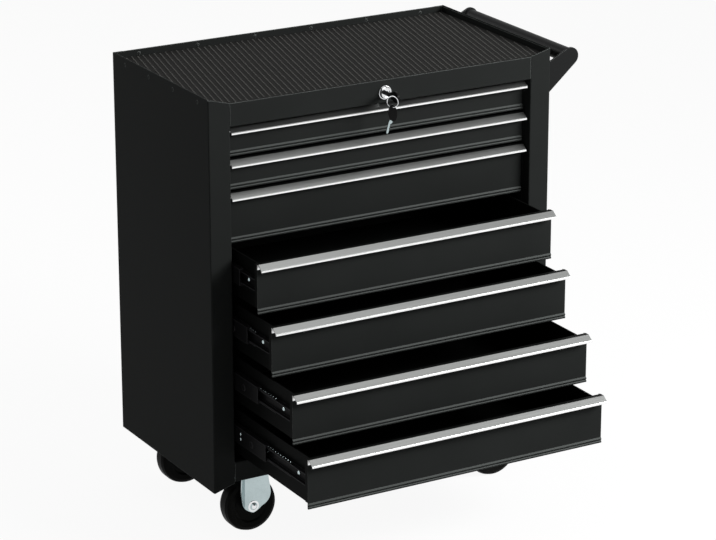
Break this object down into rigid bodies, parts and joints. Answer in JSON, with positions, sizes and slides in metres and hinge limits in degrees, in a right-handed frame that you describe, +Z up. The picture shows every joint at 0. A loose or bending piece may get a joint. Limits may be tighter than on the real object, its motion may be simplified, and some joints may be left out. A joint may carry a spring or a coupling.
{
  "type": "rolling tool cabinet",
  "caption": "Tall sheet-metal tool cabinet on casters: stacked drawers with full-width pulls on ball slides, a lock, a recessed matted top and a side push handle.",
  "frame": {"origin": "middle of the overall footprint with the drawers as they rest, on the floor under the wheels", "axes": "+Z up, +X to the right seen from the drawer side, where the push handle is, and +Y to the back; the drawers open towards -Y"},
  "size_m": [0.6765, 0.572, 0.73],
  "materials": {
    "body_paint": "satin charcoal powder coat",
    "drawer_paint": "satin charcoal powder coat",
    "handle_paint": "satin black powder coat",
    "pedal_paint": "satin black",
    "pull_aluminium": "brushed and clear anodised",
    "slide_steel": "black coated steel",
    "zinc_steel": "bright zinc plated",
    "wheel_rubber": "smooth satin black",
    "mat_rubber": "ribbed matt black",
    "lock_chrome": "polished",
    "key_plastic": "matt black grip on a steel blade"
  },
  "bodies": {
    "cabinet": {"left_side_panel": "body_paint", "right_side_panel": "body_paint", "back_panel": "body_paint", "top_tray": "body_paint", "tray_rivets": "body_paint", "top_mat": "mat_rubber", "floor_pan": "body_paint", "top_rail": "body_paint", "bottom_rail": "body_paint", "slide_posts": "body_paint", "outer_slides": "slide_steel", "lock_barrel": "lock_chrome", "push_tube": "handle_paint", "handle_brackets": "handle_paint", "front_left_fork": "zinc_steel", "rear_left_fork": "zinc_steel", "swivel_plates": "zinc_steel", "fixed_bolts": "zinc_steel"},
    "drawer_1": {"drawer_1_box": "drawer_paint", "drawer_1_handle": "pull_aluminium", "drawer_1_inner_slides": "slide_steel"},
    "runner_1": {"drawer_1_middle_slides": "slide_steel"},
    "drawer_2": {"drawer_2_box": "drawer_paint", "drawer_2_handle": "pull_aluminium", "drawer_2_inner_slides": "slide_steel"},
    "runner_2": {"drawer_2_middle_slides": "slide_steel"},
    "drawer_3": {"drawer_3_box": "drawer_paint", "drawer_3_handle": "pull_aluminium", "drawer_3_inner_slides": "slide_steel"},
    "runner_3": {"drawer_3_middle_slides": "slide_steel"},
    "drawer_4": {"drawer_4_box": "drawer_paint", "drawer_4_handle": "pull_aluminium", "drawer_4_inner_slides": "slide_steel"},
    "runner_4": {"drawer_4_middle_slides": "slide_steel"},
    "drawer_5": {"drawer_5_box": "drawer_paint", "drawer_5_handle": "pull_aluminium", "drawer_5_inner_slides": "slide_steel"},
    "runner_5": {"drawer_5_middle_slides": "slide_steel"},
    "drawer_6": {"drawer_6_box": "drawer_paint", "drawer_6_handle": "pull_aluminium", "drawer_6_inner_slides": "slide_steel"},
    "runner_6": {"drawer_6_middle_slides": "slide_steel"},
    "drawer_7": {"drawer_7_box": "drawer_paint", "drawer_7_handle": "pull_aluminium", "drawer_7_inner_slides": "slide_steel"},
    "runner_7": {"drawer_7_middle_slides": "slide_steel"},
    "lock": {"lock_plug": "lock_chrome", "lock_cam": "zinc_steel"},
    "key": {"lock_key": "key_plastic"},
    "lock_bar": {"lock_bar": "zinc_steel"},
    "front_left_roller": {"front_left_wheel": "wheel_rubber"},
    "front_right_caster": {"front_right_fork": "zinc_steel", "front_right_axle": "zinc_steel"},
    "front_right_roller": {"front_right_wheel": "wheel_rubber"},
    "front_right_pedal": {"front_right_brake": "pedal_paint"},
    "rear_left_roller": {"rear_left_wheel": "wheel_rubber"},
    "rear_right_caster": {"rear_right_fork": "zinc_steel", "rear_right_axle": "zinc_steel"},
    "rear_right_roller": {"rear_right_wheel": "wheel_rubber"},
    "rear_right_pedal": {"rear_right_brake": "pedal_paint"}
  },
  "joints": [
    {"name": "drawer_1_slide", "type": "slide", "parent": "cabinet", "child": "drawer_1", "axis": [0, -1, 0], "range_m": [0, 0.255]},
    {"name": "runner_1_slide", "type": "slide", "parent": "cabinet", "child": "runner_1", "axis": [0, -1, 0], "range_m": [0, 0.1275]},
    {"name": "drawer_2_slide", "type": "slide", "parent": "cabinet", "child": "drawer_2", "axis": [0, -1, 0], "range_m": [0, 0.255]},
    {"name": "runner_2_slide", "type": "slide", "parent": "cabinet", "child": "runner_2", "axis": [0, -1, 0], "range_m": [0, 0.1275]},
    {"name": "drawer_3_slide", "type": "slide", "parent": "cabinet", "child": "drawer_3", "axis": [0, -1, 0], "range_m": [0, 0.255]},
    {"name": "runner_3_slide", "type": "slide", "parent": "cabinet", "child": "runner_3", "axis": [0, -1, 0], "range_m": [0, 0.1275]},
    {"name": "drawer_4_slide", "type": "slide", "parent": "cabinet", "child": "drawer_4", "axis": [0, -1, 0], "range_m": [-0.091, 0.164]},
    {"name": "runner_4_slide", "type": "slide", "parent": "cabinet", "child": "runner_4", "axis": [0, -1, 0], "range_m": [-0.0455, 0.082]},
    {"name": "drawer_5_slide", "type": "slide", "parent": "cabinet", "child": "drawer_5", "axis": [0, -1, 0], "range_m": [-0.135, 0.12]},
    {"name": "runner_5_slide", "type": "slide", "parent": "cabinet", "child": "runner_5", "axis": [0, -1, 0], "range_m": [-0.0675, 0.06]},
    {"name": "drawer_6_slide", "type": "slide", "parent": "cabinet", "child": "drawer_6", "axis": [0, -1, 0], "range_m": [-0.199, 0.056]},
    {"name": "runner_6_slide", "type": "slide", "parent": "cabinet", "child": "runner_6", "axis": [0, -1, 0], "range_m": [-0.0995, 0.028]},
    {"name": "drawer_7_slide", "type": "slide", "parent": "cabinet", "child": "drawer_7", "axis": [0, -1, 0], "range_m": [-0.245, 0.01]},
    {"name": "runner_7_slide", "type": "slide", "parent": "cabinet", "child": "runner_7", "axis": [0, -1, 0], "range_m": [-0.1225, 0.005]},
    {"name": "lock_turn", "type": "hinge", "parent": "cabinet", "child": "lock", "pos_m": [-0.03075, -0.044, 0.7], "axis": [0, 1, 0], "range_deg": [0, 90]},
    {"name": "key_pull", "type": "slide", "parent": "lock", "child": "key", "axis": [0, -1, 0], "range_m": [0, 0.045]},
    {"name": "lock_bar_drop", "type": "slide", "parent": "cabinet", "child": "lock_bar", "axis": [0, 0, -1], "range_m": [0, 0.01202]},
    {"name": "front_left_roll", "type": "hinge", "parent": "cabinet", "child": "front_left_roller", "pos_m": [-0.25925, -0.004, 0.045], "axis": [0, 1, 0], "continuous": true},
    {"name": "front_right_swivel", "type": "hinge", "parent": "cabinet", "child": "front_right_caster", "pos_m": [0.16875, -0.004, 0.098], "axis": [0, 0, 1], "continuous": true},
    {"name": "front_right_roll", "type": "hinge", "parent": "front_right_caster", "child": "front_right_roller", "pos_m": [0.19775, -0.004, 0.045], "axis": [0, 1, 0], "continuous": true},
    {"name": "front_right_brake_press", "type": "hinge", "parent": "front_right_caster", "child": "front_right_pedal", "pos_m": [0.23675, -0.004, 0.077], "axis": [0, 1, 0], "range_deg": [0, 20]},
    {"name": "rear_left_roll", "type": "hinge", "parent": "cabinet", "child": "rear_left_roller", "pos_m": [-0.25925, 0.222, 0.045], "axis": [0, 1, 0], "continuous": true},
    {"name": "rear_right_swivel", "type": "hinge", "parent": "cabinet", "child": "rear_right_caster", "pos_m": [0.16875, 0.222, 0.098], "axis": [0, 0, 1], "continuous": true},
    {"name": "rear_right_roll", "type": "hinge", "parent": "rear_right_caster", "child": "rear_right_roller", "pos_m": [0.19775, 0.222, 0.045], "axis": [0, 1, 0], "continuous": true},
    {"name": "rear_right_brake_press", "type": "hinge", "parent": "rear_right_caster", "child": "rear_right_pedal", "pos_m": [0.23675, 0.222, 0.077], "axis": [0, 1, 0], "range_deg": [0, 20]}
  ],
  "couplings": [
    {"joint": "runner_1_slide", "follows": "drawer_1_slide", "ratio": 0.5},
    {"joint": "runner_2_slide", "follows": "drawer_2_slide", "ratio": 0.5},
    {"joint": "runner_3_slide", "follows": "drawer_3_slide", "ratio": 0.5},
    {"joint": "runner_4_slide", "follows": "drawer_4_slide", "ratio": 0.5},
    {"joint": "runner_5_slide", "follows": "drawer_5_slide", "ratio": 0.5},
    {"joint": "runner_6_slide", "follows": "drawer_6_slide", "ratio": 0.5},
    {"joint": "runner_7_slide", "follows": "drawer_7_slide", "ratio": 0.5},
    {"joint": "lock_turn", "follows": "lock_bar_drop", "rad_per_m": 130.68}
  ]
}
